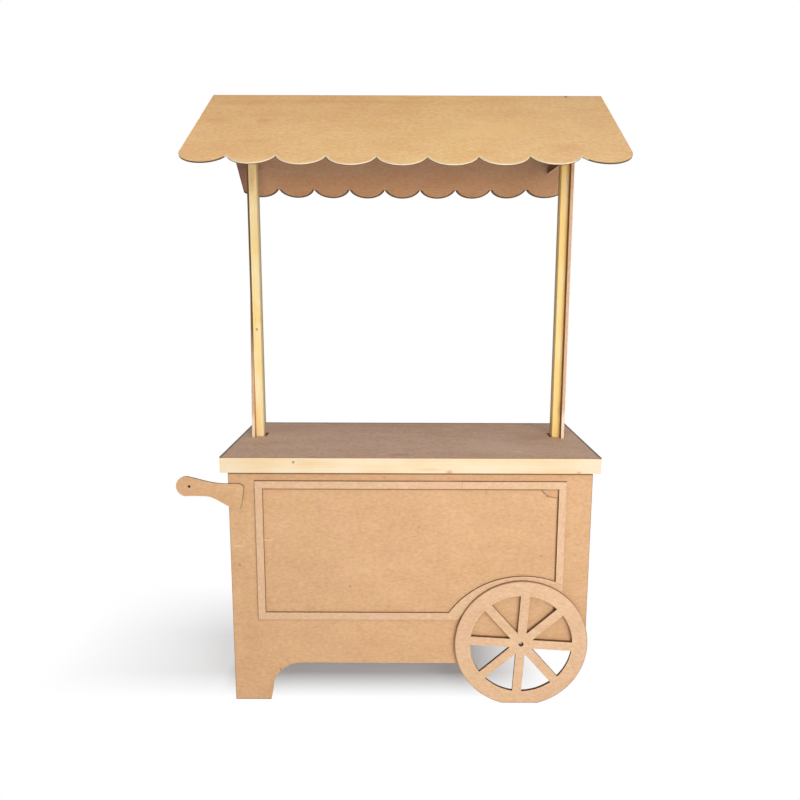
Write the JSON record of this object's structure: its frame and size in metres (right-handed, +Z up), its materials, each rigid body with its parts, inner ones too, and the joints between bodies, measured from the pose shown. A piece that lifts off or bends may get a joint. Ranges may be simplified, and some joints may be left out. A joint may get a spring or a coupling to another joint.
{
  "type": "display cart",
  "caption": "Knock-down display cart of MDF and pine: boxed body on feet and fixed spoked wheels, edged counter, slim posts and a gable roof with scalloped eaves.",
  "frame": {"origin": "on the floor, under the middle of the cart's overall box (push handle and roof included)", "axes": "+Z up, -Y out of the front panel, +X to the right of someone facing the front, towards the wheels; the ridge runs along X at y = 0"},
  "size_m": [1.1455, 0.7478, 1.657],
  "materials": {
    "mdf": "raw MDF sheet, smooth and matt, light tan",
    "mdf_strip": "raw MDF strip, a little lighter than the sheets, matt",
    "mdf_counter": "raw MDF sheet seen at a low angle, greyer tan, matt",
    "pine": "planed pine batten, unfinished, straight grain"
  },
  "bodies": {
    "root": {"counter_sheet": "mdf_counter", "edging_front": "pine", "edging_back": "pine", "edging_left": "pine", "edging_right": "pine", "front_panel": "mdf", "back_panel": "mdf", "side_panel_left": "mdf", "side_panel_right": "mdf", "corner_batten_front_left": "pine", "corner_batten_front_right": "pine", "corner_batten_back_left": "pine", "corner_batten_back_right": "pine", "rail_batten_front": "pine", "rail_batten_back": "pine", "trim_top_left": "mdf_strip", "trim_top_right": "mdf_strip", "trim_left": "mdf_strip", "trim_right": "mdf_strip", "trim_bottom": "mdf_strip", "trim_arch": "mdf_strip", "push_handle": "mdf", "wheel_front": "mdf_strip", "wheel_back": "mdf_strip", "axle_batten": "pine", "post_batten_left": "pine", "post_batten_right": "pine", "post_strip_left": "mdf_strip", "post_strip_right": "mdf_strip", "post_guide_left_front": "pine", "post_guide_left_back": "pine", "post_guide_right_front": "pine", "post_guide_right_back": "pine", "post_rest_left": "pine", "post_rest_right": "pine", "gable_plate_left": "mdf", "gable_plate_right": "mdf", "roof_panel_front": "mdf", "roof_panel_back": "mdf"}
  },
  "joints": []
}
